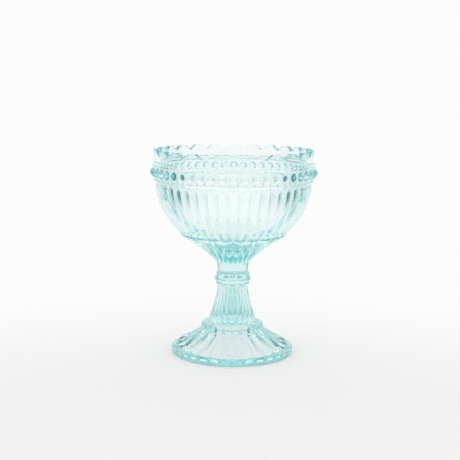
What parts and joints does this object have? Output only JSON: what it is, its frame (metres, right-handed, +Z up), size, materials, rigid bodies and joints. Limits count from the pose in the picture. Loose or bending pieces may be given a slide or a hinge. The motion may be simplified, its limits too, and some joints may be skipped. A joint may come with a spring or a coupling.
{
  "type": "dessert bowl",
  "caption": "Footed dessert bowl of pale aqua pressed glass, with a toothed rim, a row of beads, a fluted bowl, a beaded collar, a reeded stem and a petalled foot.",
  "frame": {"origin": "on the table under the middle of the foot", "axes": "+Z up along the bowl's axis; the middle of one rim tooth, bead and flute faces -Y"},
  "size_m": [0.126, 0.126, 0.155],
  "materials": {
    "aqua_glass": "pressed soda-lime glass, fire polished, tinted pale aqua all through"
  },
  "bodies": {
    "root": {"bowl": "aqua_glass", "collar": "aqua_glass", "foot": "aqua_glass"}
  },
  "joints": []
}
